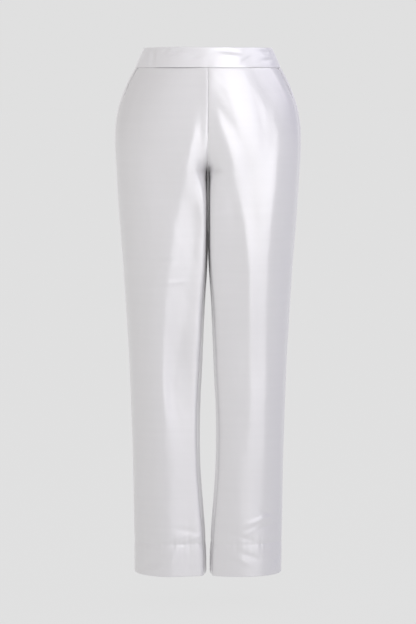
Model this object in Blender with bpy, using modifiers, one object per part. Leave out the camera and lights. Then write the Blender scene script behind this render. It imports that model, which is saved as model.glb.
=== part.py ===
"""Tapered trousers, filled out as worn: two fronts, two backs, a contoured waistband, side pockets and a back zip.

Metres, +Z up. The front faces -Y and the wearer's left leg lies at +X. The origin is the centre of the waist
opening, where the wearer holds the garment up, and the legs hang down from it. Every panel is an open sheet,
lofted through horizontal sections, with its wall added inwards.
"""

import math

import bmesh
import bpy
import numpy as np
from mathutils import Vector

COLLECTION = "tapered_trousers"

# Cloth and seams
CLOTH = 0.0012  # one layer of heavy silk with its seam allowance
BAND_WALL = 0.0020  # two layers and their stiffening
POCKET_WALL = 0.0010  # both layers of an empty pocket bag, pressed flat
SEAM_GAP = 0.0003  # between two pieces that are sewn together
HALF_GAP = SEAM_GAP / 2

# Heights, down from the top of the waistband
BAND_BOTTOM = -0.039
CURVE_TOP = -0.120  # where the crotch seam starts to curve under
CROTCH = -0.250
HEM = -1.038
HEM_DEPTH = 0.065  # the turned-up hem, doubled inside the leg
CROTCH_Y = 0.010  # where the four panels meet
CROTCH_HEADING = 88.0  # how steeply the cloth leaves that place, in degrees from +X

# Half of the garment's outline at each height, on the side of +X. The section runs through these points:
# front (facing straight forwards), side (the widest) and back. seam_forward is how far the side seam lies
# in front of the widest point, measured round the cloth.
SECTION_COLUMNS = ("height", "side_x", "side_y", "front_x", "front_y", "back_x", "back_y", "seam_forward")
SECTIONS = (
    (0.000, 0.1246, 0.000, 0.004, -0.0965, 0.020, 0.0930, 0.033),
    (-0.020, 0.1340, 0.000, 0.005, -0.1005, 0.024, 0.0970, 0.032),
    (-0.039, 0.1425, 0.001, 0.006, -0.1035, 0.030, 0.1015, 0.030),
    (-0.060, 0.1535, 0.002, 0.008, -0.1065, 0.040, 0.1080, 0.029),
    (-0.085, 0.1645, 0.003, 0.010, -0.1090, 0.051, 0.1145, 0.029),
    (-0.110, 0.1732, 0.005, 0.014, -0.1105, 0.060, 0.1200, 0.030),
    (-0.145, 0.1804, 0.007, 0.022, -0.1115, 0.071, 0.1255, 0.032),
    (-0.190, 0.1828, 0.008, 0.034, -0.1105, 0.080, 0.1270, 0.034),
    (-0.235, 0.1812, 0.008, 0.047, -0.1070, 0.086, 0.1215, 0.034),
    (-0.290, 0.1780, 0.007, 0.060, -0.1020, 0.088, 0.1125, 0.033),
    (-0.350, 0.1732, 0.006, 0.069, -0.0965, 0.088, 0.1030, 0.031),
    (-0.430, 0.1670, 0.005, 0.077, -0.0895, 0.086, 0.0925, 0.028),
    (-0.520, 0.1612, 0.004, 0.081, -0.0815, 0.085, 0.0825, 0.024),
    (-0.620, 0.1560, 0.003, 0.083, -0.0740, 0.084, 0.0740, 0.020),
    (-0.720, 0.1520, 0.002, 0.084, -0.0690, 0.084, 0.0688, 0.017),
    (-0.820, 0.1490, 0.001, 0.082, -0.0645, 0.082, 0.0643, 0.014),
    (-0.920, 0.1476, 0.000, 0.078, -0.0605, 0.078, 0.0603, 0.012),
    (HEM, 0.1465, 0.000, 0.075, -0.0575, 0.075, 0.0572, 0.010),
)

# Below the crotch: how far the leg stays from the middle plane, and the inseam's place and heading.
# The heading is the angle between +X and the cloth as it runs forwards from the seam, in degrees.
INSEAM_COLUMNS = ("height", "clearance", "seam_y", "heading")
INSEAMS = (
    (CROTCH, 0.0002, 0.010, 88.0),
    (-0.260, 0.0003, 0.008, 87.5),
    (-0.271, 0.0003, 0.006, 87.0),
    (-0.285, 0.0003, 0.003, 87.0),
    (-0.305, 0.0003, 0.000, 87.0),
    (-0.340, 0.0003, -0.004, 87.5),
    (-0.410, 0.0006, -0.009, 87.0),
    (-0.450, 0.0026, -0.011, 85.0),
    (-0.500, 0.0059, -0.013, 82.0),
    (-0.547, 0.0080, -0.015, 79.0),
    (-0.600, 0.0103, -0.016, 76.0),
    (-0.650, 0.0125, -0.017, 74.0),
    (-0.700, 0.0150, -0.018, 74.0),
    (-0.760, 0.0159, -0.018, 74.0),
    (-0.820, 0.0150, -0.018, 74.0),
    (-0.870, 0.0120, -0.017, 74.0),
    (-0.920, 0.0082, -0.016, 75.0),
    (-0.970, 0.0046, -0.015, 76.0),
    (HEM, 0.0030, -0.014, 77.0),
)

# Above the crotch: how far the start of a leg's inner curve lies across the middle plane, in front and behind.
# The more it does, the shallower the hollow along the centre seam.
OVERLAP_COLUMNS = ("height", "front_overlap", "back_overlap")
OVERLAPS = (
    (0.000, 0.620, 0.700),
    (-0.039, 0.470, 0.540),
    (-0.085, 0.290, 0.360),
    (-0.110, 0.190, 0.255),
    (-0.145, 0.100, 0.140),
    (-0.180, 0.0445, 0.0625),
    (-0.208, 0.0160, 0.0225),
    (-0.230, 0.0038, 0.0053),
    (-0.242, 0.0007, 0.0010),
    (CROTCH, 0.000, 0.000),
)

# How square the corners of a leg's front are: its turn in towards the middle, tight where the thighs press
# together, as it leaves the inner edge and as it reaches the front, and its turn out to the side
CORNER_COLUMNS = ("height", "inner", "front", "outer")
CORNERS = (
    (0.000, 0.62, 0.62, 0.56),
    (-0.060, 0.62, 0.62, 0.62),
    (-0.120, 0.64, 0.62, 0.70),
    (-0.190, 0.82, 0.70, 0.72),
    (-0.250, 0.95, 0.87, 0.72),
    (-0.320, 0.96, 0.91, 0.70),
    (-0.400, 0.95, 0.88, 0.64),
    (-0.480, 0.84, 0.76, 0.57),
    (-0.560, 0.68, 0.65, 0.55),
    (HEM, 0.62, 0.62, 0.54),
)

# The pocket mouth: height, and how far the front's side edge is set back from the side seam
MOUTH = (
    (-0.039, 0.0075),
    (-0.060, 0.0120),
    (-0.074, 0.0150),
    (-0.084, 0.0070),
    (-0.096, 0.0030),
    (-0.140, 0.0022),
    (-0.185, HALF_GAP),
    (HEM, HALF_GAP),
)

# The largest soft folds of a leg: place, height, length, width, depth and lean. A place is measured round the
# cloth from the side seam, below zero in front; a depth below zero is a hollow; lean turns a fold's length away
# from upright, in degrees.
FOLDS = (
    (-0.150, -0.300, 0.110, 0.034, -0.0022, 24.0),
    (-0.060, -0.470, 0.170, 0.040, 0.0018, -6.0),
    (-0.110, -0.640, 0.100, 0.034, -0.0020, 14.0),
    (-0.065, -0.860, 0.120, 0.036, -0.0018, -10.0),
    (0.080, -0.330, 0.100, 0.036, -0.0024, -30.0),
    (0.180, -0.280, 0.070, 0.026, -0.0034, 62.0),
    (0.130, -0.600, 0.090, 0.030, -0.0030, 48.0),
    (0.090, -0.680, 0.090, 0.030, -0.0026, -44.0),
    (0.130, -0.860, 0.120, 0.034, -0.0022, 12.0),
)

# Fullness of the arcs that join the points of a section: 0.55 is an ellipse, more is squarer
OUTER_FULLNESS = 0.56
INNER_FULLNESS = 0.62
ARC_STEPS = 40
RIGHTWARDS = np.array((1.0, 0.0))
BACKWARDS = np.array((0.0, 1.0))

# Panel grids
EDGE_STRIP = 0.003  # the first and last face of a row
INNER_FACES = 9  # from the inner edge to the foremost or rearmost line
OUTER_FACES = 8  # and on to the side

# Pocket bag, behind the front panel
POCKET_BOTTOM = -0.250
POCKET_FIRST = INNER_FACES + 2  # the column of the front panel where the bag starts

# Closure at the centre back
ZIP_TOP = -0.024
ZIP_BOTTOM = -0.172
TAPE_HALF_WIDTH = 0.011
TAPE_WALL = 0.0008
TAPE_LEAN = 0.0001  # room for the tape's slope behind the slider
SLIDER = {"width": 0.0060, "neck": 0.0026, "tab": 0.0042, "length": 0.020, "thickness": 0.0018}
HOOK = {"width": 0.0120, "height": 0.0080, "thickness": 0.0009}
BAR = {"width": 0.0060, "height": 0.0090, "thickness": 0.0009}
HOOK_HEIGHT = -0.012  # the middle of the hook and bar
HOOK_X = 0.002
PLATE_CORNER = 0.0018

# Colours (linear), roughness and metallic value
FINISHES = {
    "silk_satin": ((0.80, 0.79, 0.80), 0.34, 0.0),
    "band_silk": ((0.82, 0.81, 0.82), 0.34, 0.0),
    "pocket_silk": ((0.66, 0.64, 0.65), 0.42, 0.0),
    "zip_tape": ((0.78, 0.77, 0.77), 0.70, 0.0),
    "zip_metal": ((0.70, 0.69, 0.67), 0.32, 0.9),
}


def clear_scene():
    for thing in list(bpy.data.objects):
        bpy.data.objects.remove(thing, do_unlink=True)


def make_material(name):
    """A plain material from the table of finishes."""
    colour, roughness, metallic = FINISHES[name]
    material = bpy.data.materials.new(name)
    material.use_nodes = True
    shader = material.node_tree.nodes["Principled BSDF"]
    shader.inputs["Base Color"].default_value = (*colour, 1.0)
    shader.inputs["Roughness"].default_value = roughness
    shader.inputs["Metallic"].default_value = metallic
    return material


def spline(places, values):
    """A smooth curve through the values: a natural cubic spline, as a function of place."""
    order = np.argsort(places)
    x = np.array(places, float)[order]
    y = np.array(values, float)[order]
    step = np.diff(x)
    slope = np.diff(y) / step
    system = np.eye(len(x))
    bend = np.zeros(len(x))
    for i in range(1, len(x) - 1):
        system[i, i - 1 : i + 2] = step[i - 1], 2 * (step[i - 1] + step[i]), step[i]
        bend[i] = 6 * (slope[i] - slope[i - 1])
    second = np.linalg.solve(system, bend)

    def at(place):
        place = float(np.clip(place, x[0], x[-1]))
        i = int(np.clip(np.searchsorted(x, place) - 1, 0, len(x) - 2))
        before = x[i + 1] - place
        after = place - x[i]
        cubic = (second[i] * before**3 + second[i + 1] * after**3) / (6 * step[i])
        left = (y[i] / step[i] - second[i] * step[i] / 6) * before
        right = (y[i + 1] / step[i] - second[i + 1] * step[i] / 6) * after
        return cubic + left + right

    return at


def columns(names, rows):
    """The table's columns after the first, each as a spline over the first."""
    places = [row[0] for row in rows]
    return {name: spline(places, [row[i] for row in rows]) for i, name in enumerate(names) if i}


SECTION = columns(SECTION_COLUMNS, SECTIONS)
INSEAM = columns(INSEAM_COLUMNS, INSEAMS)
OVERLAP = columns(OVERLAP_COLUMNS, OVERLAPS)
CORNER = columns(CORNER_COLUMNS, CORNERS)


def set_back(z):
    """How far the front's side edge lies from the side seam, straight from row to row."""
    heights, distances = zip(*MOUTH[::-1])
    return float(np.interp(z, heights, distances))


def arc(start, leaving, end, arriving, fullness, last_fullness=None):
    """A smooth turn between two points, with the headings (unit vectors) that the cloth has at each."""
    across, deep = np.abs(end - start)
    first = fullness * (across * abs(leaving[0]) + deep * abs(leaving[1]))
    last = (last_fullness or fullness) * (across * abs(arriving[0]) + deep * abs(arriving[1]))
    controls = (start, start + first * leaving, end - last * arriving, end)
    t = np.linspace(0.0, 1.0, ARC_STEPS + 1)[:, None]
    weights = ((1 - t) ** 3, 3 * t * (1 - t) ** 2, 3 * t**2 * (1 - t), t**3)
    return sum(weight * control for weight, control in zip(weights, controls))


def inner_starts(z, front, back):
    """Where a leg's inner curve starts in front and behind, and its heading there. Above the crotch the starts
    lie across the middle plane, where the two legs run into each other, and the cloth is cut off at the plane."""
    if z >= CROTCH:
        angle = math.radians(CROTCH_HEADING)
        starts = []
        for name, way in (("front_overlap", -1), ("back_overlap", 1)):
            start = np.array((HALF_GAP - OVERLAP[name](z), CROTCH_Y))
            starts.append((start, np.array((math.cos(angle), way * math.sin(angle)))))
        return starts
    angle = math.radians(INSEAM["heading"](z))
    clearance = INSEAM["clearance"](z)
    heading = np.array((math.cos(angle), -math.sin(angle)))
    seam = np.array((clearance, INSEAM["seam_y"](z)))
    for _ in range(5):
        behind = arc(seam, -heading, back, RIGHTWARDS, INNER_FULLNESS)
        seam[0] += clearance - behind[:, 0].min()
    return [(seam, heading), (seam.copy(), -heading)]


def fold_relief(from_side, z):
    """How far the soft folds move the cloth outwards, at places round the section."""
    relief = np.zeros_like(from_side)
    for place, height, length, width, depth, lean in FOLDS:
        across = from_side - place
        up = z - height
        turn = math.radians(lean)
        along = up * math.cos(turn) + across * math.sin(turn)
        aside = across * math.cos(turn) - up * math.sin(turn)
        relief += depth * np.exp(-((aside / width) ** 2) - (along / length) ** 2)
    return relief


def outward(points):
    """Unit vectors square to a section, pointing out of the garment."""
    along = np.gradient(points, axis=0)
    along /= np.linalg.norm(along, axis=1)[:, None]
    return np.stack((along[:, 1], -along[:, 0]), axis=1)


def section(z):
    """Half of the section at a height, running from the inner edge in front round the side to the inner edge
    behind: its points, the length of cloth up to each, and the lengths at the edges and lines on it."""
    form = {name: at(z) for name, at in SECTION.items()}
    front = np.array((form["front_x"], form["front_y"]))
    side = np.array((form["side_x"], form["side_y"]))
    back = np.array((form["back_x"], form["back_y"]))
    (first, leaving), (last, returning) = inner_starts(z, front, back)
    turns = (
        arc(first, leaving, front, RIGHTWARDS, CORNER["inner"](z), CORNER["front"](z)),
        arc(front, RIGHTWARDS, side, BACKWARDS, CORNER["outer"](z), OUTER_FULLNESS),
        arc(side, BACKWARDS, back, -RIGHTWARDS, OUTER_FULLNESS),
        arc(last, returning, back, RIGHTWARDS, INNER_FULLNESS)[::-1],
    )
    points = np.vstack([turns[0]] + [turn[1:] for turn in turns[1:]])
    steps = np.linalg.norm(np.diff(points, axis=0), axis=1)
    lengths = np.concatenate(([0.0], np.cumsum(steps)))
    middle = 2 * ARC_STEPS
    if z >= CROTCH:
        start = np.interp(HALF_GAP, points[: middle + 1, 0], lengths[: middle + 1])
        stop = np.interp(HALF_GAP, points[:middle:-1, 0], lengths[:middle:-1])
    else:
        start, stop = HALF_GAP, lengths[-1] - HALF_GAP
    lines = {
        "start": start,
        "front": lengths[ARC_STEPS],
        "side": lengths[middle] - form["seam_forward"],
        "back": lengths[3 * ARC_STEPS],
        "stop": stop,
    }
    points = points + outward(points) * fold_relief(lengths - lines["side"], z)[:, None]
    if z < CROTCH:
        points[:, 0] = np.maximum(points[:, 0], HALF_GAP)
    return points, lengths, lines


def run_of(z, places):
    """Points round the section at a height, at these lengths of cloth."""
    points, lengths, _ = section(z)
    x = np.interp(places, lengths, points[:, 0])
    y = np.interp(places, lengths, points[:, 1])
    return np.stack((x, y, np.full_like(x, z)), axis=1)


def spaced(start, turn, stop):
    """Lengths for a panel's row, from its inner edge past its foremost or rearmost line to its side edge. A
    narrow strip at each end keeps the wall square to the cloth at a seam."""
    inner = np.linspace(start + EDGE_STRIP, turn, INNER_FACES)
    outer = np.linspace(turn, stop - EDGE_STRIP, OUTER_FACES)[1:]
    return np.concatenate(((start,), inner, outer, (stop,)))


def front_row(z):
    """A row of the front panel, from the centre seam or inseam to the side seam or pocket mouth."""
    lines = section(z)[2]
    return run_of(z, spaced(lines["start"], lines["front"], lines["side"] - set_back(z)))


def back_row(z):
    """A row of the back panel, from the side seam to the centre seam or inseam."""
    lines = section(z)[2]
    return run_of(z, -spaced(-lines["stop"], -lines["back"], -lines["side"] - HALF_GAP)[::-1])


def pocket_row(z):
    """A row of the pocket bag on the outer form: the front panel's own points, but out to the side seam."""
    row = front_row(z)[POCKET_FIRST:]
    row[-1:] = run_of(z, [section(z)[2]["side"] - HALF_GAP])
    return row


def band_front_row(z):
    """A row of the front waistband, from side seam to side seam."""
    lines = section(z)[2]
    half = run_of(z, spaced(lines["start"], lines["front"], lines["side"] - HALF_GAP))
    half[0, 0] = 0.0
    return np.vstack((half[:0:-1] * (-1, 1, 1), half))


def panel_heights():
    """Heights of a panel's rows: close together on the curve of the crotch seam and at the hem's stitching."""
    above = np.linspace(BAND_BOTTOM - HALF_GAP, CURVE_TOP, 5)
    turns = np.radians(np.linspace(0, 90, 9)[1:])
    curve = CURVE_TOP + (CROTCH - CURVE_TOP) * np.sin(turns)
    under = (-0.253, -0.257, -0.264, -0.273, -0.285, -0.302)
    hem_line = HEM + HEM_DEPTH
    leg = np.linspace(under[-1], hem_line, 16)[1:]
    hem = (hem_line - 0.001, (hem_line + HEM) / 2, HEM)
    return np.concatenate((above, curve, under, leg, hem))


def mirrored(rows, side):
    """The rows for the wearer's left (side 1), or turned over the middle plane for the right (side -1)."""
    return [row * (side, 1, 1) for row in rows]


def lofted(name, rows, side=1):
    """A mesh through rows of equal length, with its faces pointing out of the garment."""
    shape = bmesh.new()
    grid = [[shape.verts.new(point) for point in row] for row in mirrored(rows, side)]
    for upper, lower in zip(grid, grid[1:]):
        for i in range(len(upper) - 1):
            corners = (upper[i], lower[i], lower[i + 1], upper[i + 1])
            shape.faces.new(corners[::side])
    mesh = bpy.data.meshes.new(name)
    shape.to_mesh(mesh)
    shape.free()
    return mesh


def add_object(collection, name, mesh, material):
    """A named object with its material, shaded smooth but for its edges."""
    mesh.materials.append(material)
    mesh.shade_smooth()
    mesh.set_sharp_from_angle(angle=math.radians(50))
    thing = bpy.data.objects.new(name, mesh)
    collection.objects.link(thing)
    return thing


def add_wall(thing, thickness, doubled=()):
    """Thickness added inwards. Vertices listed in doubled get all of it, the others half."""
    wall = thing.modifiers.new("wall", "SOLIDIFY")
    wall.thickness = thickness
    wall.offset = -1.0
    if doubled:
        group = thing.vertex_groups.new(name="doubled")
        group.add(list(doubled), 1.0, "REPLACE")
        wall.vertex_group = group.name
        wall.thickness_vertex_group = 0.5


def add_panel(collection, name, row, side, material):
    """A front or back, from the waist seam to the hem, with the hem turned up inside."""
    rows = [row(z) for z in panel_heights()]
    thing = add_object(collection, name, lofted(name, rows, side), material)
    hem_rows = 3
    first = (len(rows) - hem_rows) * len(rows[0])
    add_wall(thing, 2 * CLOTH, range(first, len(rows) * len(rows[0])))


def add_band(collection, name, row, side, material):
    """A piece of the waistband, deeper at the side than one straight strip because it is cut on a curve."""
    rows = [row(z) for z in np.linspace(0.0, BAND_BOTTOM + HALF_GAP, 4)]
    thing = add_object(collection, name, lofted(name, rows, side), material)
    add_wall(thing, BAND_WALL)


def moved_in(rows, depth):
    """Rows of points moved into the garment, square to the form that they lie on."""
    grid = np.array(rows)
    down = np.gradient(grid, axis=0)
    round_it = np.gradient(grid, axis=1)
    square = np.cross(round_it, down)
    square /= np.linalg.norm(square, axis=2)[:, :, None]
    outwards = square * np.sign(square[:, :, :1] * grid[:, :, :1] + square[:, :, 1:2] * grid[:, :, 1:2])
    return list(grid - depth * outwards)


def add_pocket(collection, name, side, material):
    """An empty pocket bag, flat behind the front panel and showing at the mouth."""
    heights = [z for z in panel_heights() if z > POCKET_BOTTOM]
    rows = moved_in([pocket_row(z) for z in heights], CLOTH + SEAM_GAP)
    thing = add_object(collection, name, lofted(name, rows, side), material)
    add_wall(thing, POCKET_WALL)


def centre_back(z, x):
    """The depth of the back at a height and a small distance from the middle, on the panel's own faces."""
    row = back_row(z)[::-1]
    return np.interp(np.abs(x), row[:, 0], row[:, 1])


def add_zip_tape(collection, material):
    """Both tapes and the closed coil, as one strip behind the centre-back seam."""
    edge = TAPE_HALF_WIDTH
    x = np.array((edge, EDGE_STRIP, 0.0, -EDGE_STRIP, -edge))
    below = [z for z in panel_heights() if z > ZIP_BOTTOM]
    rows = []
    for z in (ZIP_TOP, *below):
        outside = centre_back(z, x)
        slope = (outside[0] - outside[2]) / edge
        inside = outside - (BAND_WALL + SEAM_GAP) * math.sqrt(1 + slope**2)
        rows.append(np.stack((x, inside, np.full_like(x, z)), axis=1))
    thing = add_object(collection, "zip_tape", lofted("zip_tape", rows), material)
    add_wall(thing, TAPE_WALL)


def plate_outline(width, height):
    """Points round a plate with rounded corners, about its own middle."""
    points = []
    for quarter in range(4):
        centre_x = (width / 2 - PLATE_CORNER) * (1, -1, -1, 1)[quarter]
        centre_z = (height / 2 - PLATE_CORNER) * (1, 1, -1, -1)[quarter]
        for step in range(4):
            angle = math.radians(90 * quarter + 30 * step)
            points.append((centre_x + PLATE_CORNER * math.cos(angle), centre_z + PLATE_CORNER * math.sin(angle)))
    return points


def slider_outline():
    """Points round the slider and its pull, which hangs from it, from the slider's top corner round."""
    width, neck, tab = SLIDER["width"] / 2, SLIDER["neck"] / 2, SLIDER["tab"] / 2
    length = SLIDER["length"]
    half = [(width, 0.0), (width, -0.30 * length), (neck, -0.42 * length), (neck, -0.55 * length)]
    half += [(tab, -0.85 * length), (0.6 * tab, -0.97 * length)]
    return half + [(0.0, -length)] + [(-x, z) for x, z in half[::-1]]


def add_plate(collection, name, outline, centre, thickness, material):
    """A flat piece of metal standing in the plane of the back, from its outline about centre."""
    shape = bmesh.new()
    rim = [shape.verts.new((centre[0] + x, centre[1], centre[2] + z)) for x, z in outline]
    face = shape.faces.new(rim)
    raised = bmesh.ops.extrude_face_region(shape, geom=[face])["geom"]
    lifted = [vertex for vertex in raised if isinstance(vertex, bmesh.types.BMVert)]
    bmesh.ops.translate(shape, verts=lifted, vec=Vector((0.0, -thickness, 0.0)))
    bmesh.ops.recalc_face_normals(shape, faces=shape.faces)
    mesh = bpy.data.meshes.new(name)
    shape.to_mesh(mesh)
    shape.free()
    add_object(collection, name, mesh, material)


def add_closure(collection, tape, metal):
    """A zip in the centre-back seam, its slider at the top inside, and a hook and bar above it."""
    add_zip_tape(collection, tape)
    slider_y = centre_back(ZIP_TOP, SLIDER["width"] / 2) - BAND_WALL - TAPE_WALL - 2 * SEAM_GAP - TAPE_LEAN
    add_plate(collection, "zip_slider", slider_outline(), (0.0, slider_y, ZIP_TOP - 0.001),
              SLIDER["thickness"], metal)
    bar_x = HOOK_X - (HOOK["width"] + BAR["width"]) / 2 - SEAM_GAP
    reach = BAR["width"] / 2 - bar_x
    plate_y = centre_back(HOOK_HEIGHT + HOOK["height"] / 2, reach) - BAND_WALL - 2 * SEAM_GAP
    for name, plate, x in (("waist_hook", HOOK, HOOK_X), ("waist_bar", BAR, bar_x)):
        outline = plate_outline(plate["width"], plate["height"])
        add_plate(collection, name, outline, (x, plate_y, HOOK_HEIGHT), plate["thickness"], metal)


def build():
    clear_scene()
    collection = bpy.data.collections.new(COLLECTION)
    bpy.context.scene.collection.children.link(collection)
    materials = {name: make_material(name) for name in FINISHES}
    add_band(collection, "waistband_front", band_front_row, 1, materials["band_silk"])
    for side, wearer in ((1, "left"), (-1, "right")):
        add_band(collection, f"waistband_back_{wearer}", back_row, side, materials["band_silk"])
        add_panel(collection, f"front_{wearer}", front_row, side, materials["silk_satin"])
        add_panel(collection, f"back_{wearer}", back_row, side, materials["silk_satin"])
        add_pocket(collection, f"pocket_{wearer}", side, materials["pocket_silk"])
    add_closure(collection, materials["zip_tape"], materials["zip_metal"])


build()
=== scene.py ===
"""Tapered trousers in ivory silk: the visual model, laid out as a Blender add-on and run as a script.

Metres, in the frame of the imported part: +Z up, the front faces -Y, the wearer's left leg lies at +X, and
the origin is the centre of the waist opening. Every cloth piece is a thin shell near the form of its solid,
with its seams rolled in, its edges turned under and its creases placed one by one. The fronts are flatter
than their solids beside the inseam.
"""

import functools
import math

import bmesh
import bpy
import numpy as np
from bpy.props import FloatProperty, FloatVectorProperty, PointerProperty
from mathutils import Matrix, Vector


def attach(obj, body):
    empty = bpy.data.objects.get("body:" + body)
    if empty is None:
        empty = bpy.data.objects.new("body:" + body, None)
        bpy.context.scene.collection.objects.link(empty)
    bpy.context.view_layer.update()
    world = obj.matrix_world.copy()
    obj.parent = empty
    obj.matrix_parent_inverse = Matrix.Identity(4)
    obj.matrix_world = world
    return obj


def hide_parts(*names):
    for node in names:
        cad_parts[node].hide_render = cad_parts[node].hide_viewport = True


bl_info = {
    "name": "Tapered trousers",
    "version": (1, 0, 0),
    "blender": (4, 5, 0),
    "location": "3D View > Sidebar > Trousers",
    "description": "Dresses the frame of tapered silk trousers in cloth and lights it",
    "category": "Object",
}

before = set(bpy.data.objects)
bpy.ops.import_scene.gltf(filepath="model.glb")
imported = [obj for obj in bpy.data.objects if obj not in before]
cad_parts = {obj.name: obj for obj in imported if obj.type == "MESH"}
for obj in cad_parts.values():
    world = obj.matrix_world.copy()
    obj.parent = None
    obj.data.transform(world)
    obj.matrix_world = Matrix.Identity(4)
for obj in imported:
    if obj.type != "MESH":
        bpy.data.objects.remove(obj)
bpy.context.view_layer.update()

SIDES = ((1, "left"), (-1, "right"))

# Seams and heights of the part
HALF_GAP = 0.00015
CLEAR_OF_MIDDLE = 0.0001
BAND_BOTTOM = -0.039
CROTCH = -0.250
HEM = -1.038
HEM_LINE = -0.973
CROTCH_Y = 0.010
CROTCH_HEADING = 88.0

# Half of the outline at each height: front, side and back points, and how far the side seam lies in front
SECTION_COLUMNS = ("height", "side_x", "side_y", "front_x", "front_y", "back_x", "back_y", "seam_forward")
SECTIONS = (
    (0.000, 0.1246, 0.000, 0.004, -0.0965, 0.020, 0.0930, 0.033),
    (-0.020, 0.1340, 0.000, 0.005, -0.1005, 0.024, 0.0970, 0.032),
    (-0.039, 0.1425, 0.001, 0.006, -0.1035, 0.030, 0.1015, 0.030),
    (-0.060, 0.1535, 0.002, 0.008, -0.1065, 0.040, 0.1080, 0.029),
    (-0.085, 0.1645, 0.003, 0.010, -0.1090, 0.051, 0.1145, 0.029),
    (-0.110, 0.1732, 0.005, 0.014, -0.1105, 0.060, 0.1200, 0.030),
    (-0.145, 0.1804, 0.007, 0.022, -0.1115, 0.071, 0.1255, 0.032),
    (-0.190, 0.1828, 0.008, 0.034, -0.1105, 0.080, 0.1270, 0.034),
    (-0.235, 0.1812, 0.008, 0.047, -0.1070, 0.086, 0.1215, 0.034),
    (-0.290, 0.1780, 0.007, 0.060, -0.1020, 0.088, 0.1125, 0.033),
    (-0.350, 0.1732, 0.006, 0.069, -0.0965, 0.088, 0.1030, 0.031),
    (-0.430, 0.1670, 0.005, 0.077, -0.0895, 0.086, 0.0925, 0.028),
    (-0.520, 0.1612, 0.004, 0.081, -0.0815, 0.085, 0.0825, 0.024),
    (-0.620, 0.1560, 0.003, 0.083, -0.0740, 0.084, 0.0740, 0.020),
    (-0.720, 0.1520, 0.002, 0.084, -0.0690, 0.084, 0.0688, 0.017),
    (-0.820, 0.1490, 0.001, 0.082, -0.0645, 0.082, 0.0643, 0.014),
    (-0.920, 0.1476, 0.000, 0.078, -0.0605, 0.078, 0.0603, 0.012),
    (HEM, 0.1465, 0.000, 0.075, -0.0575, 0.075, 0.0572, 0.010),
)

# Below the crotch: the leg's distance from the middle plane, and the inseam's place and heading
INSEAM_COLUMNS = ("height", "clearance", "seam_y", "heading")
INSEAMS = (
    (CROTCH, 0.0002, 0.010, 88.0),
    (-0.260, 0.0003, 0.008, 88.5),
    (-0.271, 0.0003, 0.006, 88.8),
    (-0.285, 0.0003, 0.003, 89.0),
    (-0.305, 0.0003, 0.000, 89.0),
    (-0.340, 0.0003, -0.004, 89.0),
    (-0.410, 0.0006, -0.009, 88.0),
    (-0.450, 0.0026, -0.011, 88.0),
    (-0.500, 0.0059, -0.013, 87.5),
    (-0.547, 0.0080, -0.015, 87.0),
    (-0.600, 0.0103, -0.016, 87.0),
    (-0.650, 0.0125, -0.017, 87.0),
    (-0.700, 0.0150, -0.018, 87.0),
    (-0.760, 0.0159, -0.018, 87.0),
    (-0.820, 0.0150, -0.018, 87.0),
    (-0.870, 0.0120, -0.017, 87.0),
    (-0.920, 0.0082, -0.016, 87.0),
    (-0.970, 0.0046, -0.015, 87.0),
    (HEM, 0.0030, -0.014, 87.0),
)

# Above the crotch: how far the start of a leg's inner curve lies across the middle plane
OVERLAP_COLUMNS = ("height", "front_overlap", "back_overlap")
OVERLAPS = (
    (0.000, 0.620, 0.700),
    (-0.039, 0.470, 0.540),
    (-0.085, 0.290, 0.360),
    (-0.110, 0.190, 0.255),
    (-0.145, 0.100, 0.140),
    (-0.180, 0.0445, 0.0625),
    (-0.208, 0.0160, 0.0225),
    (-0.230, 0.0038, 0.0053),
    (-0.242, 0.0007, 0.0010),
    (CROTCH, 0.000, 0.000),
)

# How square the corners of a leg's front are: its turn in towards the middle, tight below the crotch, and its
# turn out to the side
CORNER_COLUMNS = ("height", "inner", "front", "outer")
CORNERS = (
    (0.000, 0.62, 0.62, 0.56),
    (-0.060, 0.62, 0.62, 0.62),
    (-0.120, 0.64, 0.62, 0.70),
    (-0.180, 0.84, 0.74, 0.72),
    (-0.210, 0.93, 0.88, 0.72),
    (-0.240, 0.98, 0.97, 0.72),
    (-0.265, 1.04, 1.06, 0.72),
    (-0.300, 1.10, 1.13, 0.71),
    (-0.360, 1.12, 1.15, 0.69),
    (-0.410, 1.10, 1.13, 0.64),
    (-0.480, 1.06, 1.08, 0.57),
    (-0.560, 1.02, 1.04, 0.55),
    (-0.700, 1.00, 1.02, 0.55),
    (HEM, 0.98, 1.00, 0.54),
)

# In front, the cloth beside the inseam and the lowest part of the centre seam is pressed in towards it: from
# which height, in what distance this begins, how far it goes and how far from the seam it is felt
TUCK = {"top": -0.205, "start": 0.030, "depth": 0.0045, "reach": 0.030}

# The pocket mouth: height, and how far the front's side edge is set back from the side seam
MOUTH = (
    (-0.039, 0.0075),
    (-0.060, 0.0120),
    (-0.074, 0.0150),
    (-0.084, 0.0070),
    (-0.094, 0.0016),
    (-0.108, HALF_GAP),
    (HEM, HALF_GAP),
)

# The largest soft folds, as in the solids: place from the side seam, height, length, width, depth and lean
FOLDS = (
    (-0.150, -0.300, 0.110, 0.034, -0.0022, 24.0),
    (-0.060, -0.470, 0.170, 0.040, 0.0018, -6.0),
    (-0.110, -0.640, 0.100, 0.034, -0.0020, 14.0),
    (-0.065, -0.860, 0.120, 0.036, -0.0018, -10.0),
    (0.080, -0.330, 0.100, 0.036, -0.0024, -30.0),
    (0.180, -0.280, 0.070, 0.026, -0.0034, 62.0),
    (0.130, -0.600, 0.090, 0.030, -0.0030, 48.0),
    (0.090, -0.680, 0.090, 0.030, -0.0026, -44.0),
    (0.130, -0.860, 0.120, 0.034, -0.0022, 12.0),
)
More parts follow.
